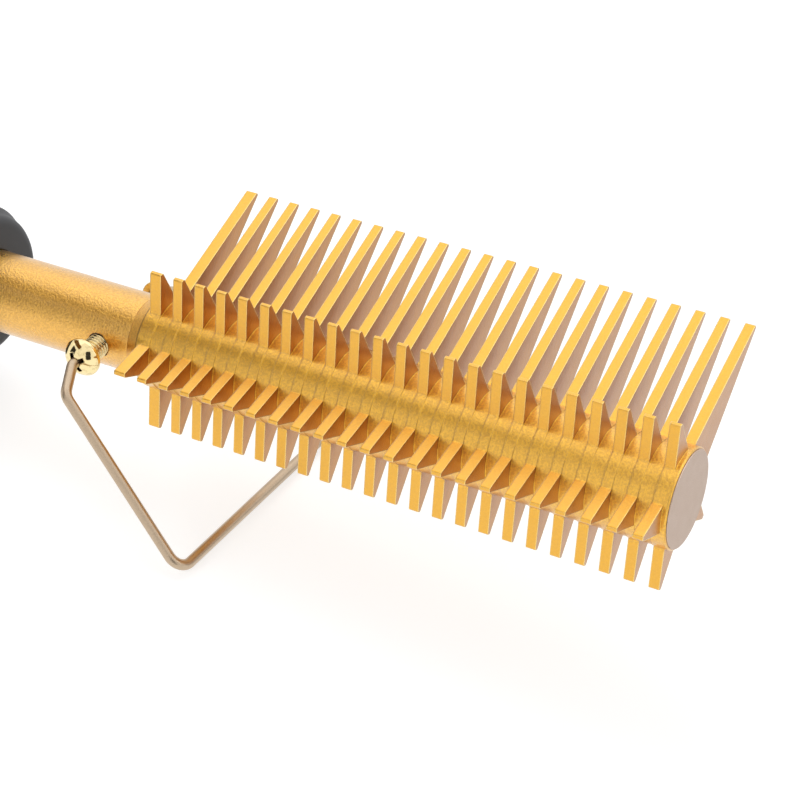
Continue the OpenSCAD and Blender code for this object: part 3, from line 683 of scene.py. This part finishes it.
def add_floor():
    """A floor that holds shadows and looks white to the camera; in reflections it is a glow with a
    painted shadow behind the object.
    """
    floor = sheet("floor", FLOOR_HALF, FLOOR_HALF)
    floor.location.z = CAD_BOX[0].z - FLOOR_DROP
    material, tree, shader = new_material("floor_white")
    shader.inputs["Base Color"].default_value = (FLOOR_GREY, FLOOR_GREY, FLOOR_GREY, 1)
    shader.inputs["Roughness"].default_value = 0.9
    shader.inputs["Specular IOR Level"].default_value = 0.0
    glow = put(tree, "ShaderNodeEmission", {"Color": WHITE, "Strength": FLOOR_GLOW})
    both = put(tree, "ShaderNodeAddShader", {0: shader.outputs[0], 1: glow.outputs[0]})
    rays = put(tree, "ShaderNodeLightPath").outputs
    seen = math_node(tree, "MAXIMUM", rays["Is Camera Ray"], rays["Is Transmission Ray"])
    pick = put(tree, "ShaderNodeMixShader", {0: seen, 1: shader.outputs[0], 2: both.outputs[0]})
    position = put(tree, "ShaderNodeNewGeometry").outputs["Position"]
    place = put(tree, "ShaderNodeSeparateXYZ", {0: position})
    # Painted shadow in reflections: the floor's glow is greyer behind the object.
    behind = ramp(tree, place.outputs["Y"], -0.03, 0.03)
    grey = (MIRRORED_SHADOW_GREY, MIRRORED_SHADOW_GREY, MIRRORED_SHADOW_GREY, 1)
    mirrored = put(tree, "ShaderNodeEmission", {"Color": mixed(tree, behind, WHITE, grey),
                   "Strength": MIRRORED_GLOW})
    pick = put(tree, "ShaderNodeMixShader", {0: rays["Is Glossy Ray"], 1: pick.outputs[0],
               2: mirrored.outputs[0]})
    surface(tree, "Material Output", pick)
    floor.data.materials.append(material)


def add_world():
    """A plain room light that the camera, mirrors and glass see as white."""
    world = bpy.data.worlds.new("world")
    bpy.context.scene.world = world
    world.use_nodes = True
    tree = world.node_tree
    room = tree.nodes["Background"]
    room.inputs["Color"].default_value = WHITE
    room.inputs["Strength"].default_value = ROOM_LIGHT
    white = put(tree, "ShaderNodeBackground", {"Color": WHITE, "Strength": 1.0})
    rays = put(tree, "ShaderNodeLightPath").outputs
    seen = math_node(tree, "MAXIMUM", rays["Is Camera Ray"], rays["Is Glossy Ray"])
    seen = math_node(tree, "MAXIMUM", seen, rays["Is Transmission Ray"])
    pick = put(tree, "ShaderNodeMixShader", {0: seen, 1: room.outputs[0], 2: white.outputs[0]})
    surface(tree, "World Output", pick)


def add_lamp(name, place, aim, size, power):
    light = bpy.data.lights.new(name, "AREA")
    light.shape = "RECTANGLE"
    light.size, light.size_y = size
    light.energy = power
    lamp = bpy.data.objects.new(name, light)
    lamp.location = place
    lamp.rotation_mode = "QUATERNION"
    lamp.rotation_quaternion = (Vector(aim) - Vector(place)).to_track_quat("-Z", "Y")
    lamp.visible_glossy = False
    bpy.context.scene.collection.objects.link(lamp)


def add_card(name, direction, distance, size, strength, tint=WHITE, slide=0.0):
    """A card that only reflections see: a studio's black flag or white board."""
    width, height = size
    card = sheet(name, width / 2, height / 2)
    card.location = Vector(direction).normalized() * distance
    card.rotation_mode = "QUATERNION"
    card.rotation_quaternion = Vector(direction).to_track_quat("Z", "Y")
    card.location += card.rotation_quaternion @ Vector((slide, 0, 0))
    material, tree, _ = new_material(name)
    surface(tree, "Material Output", put(tree, "ShaderNodeEmission", {
        "Color": tint, "Strength": strength}))
    card.data.materials.append(material)
    card.visible_camera = False
    card.visible_diffuse = False
    card.visible_shadow = False
    card.visible_transmission = False


add_floor()
add_world()
MIDDLE = (CAD_BOX[0] + CAD_BOX[1]) / 2
WARM = (1.0, 0.5, 0.15, 1)
add_lamp("key", (-0.5, 0.5, 0.9), MIDDLE, (0.7, 0.7), 6.0)
add_lamp("fill", (-0.3, -0.9, 0.35), MIDDLE, (0.8, 0.5), 3.0)
add_card("flag", (-0.4, -0.53, 0.75), 0.8, (1.4, 0.27), 0.14, WARM, slide=-0.52)
add_card("left_flag", (-0.78, -0.62, 0.02), 0.9, (0.5, 1.0), 0.03)
add_card("front_flag", (0.62, -0.75, 0.2), 0.9, (0.4, 1.0), 0.04)
add_card("top_board", (-0.35, 0.28, 0.90), 0.9, (2.0, 0.9), 1.42)
add_card("right_board", (0.78, 0.29, 0.56), 1.0, (0.6, 0.6), 1.8)
add_card("right_flag", (0.85, 0.52, 0.02), 1.1, (0.8, 0.3), 0.1)

bpy.context.scene.view_settings.view_transform = "Standard"
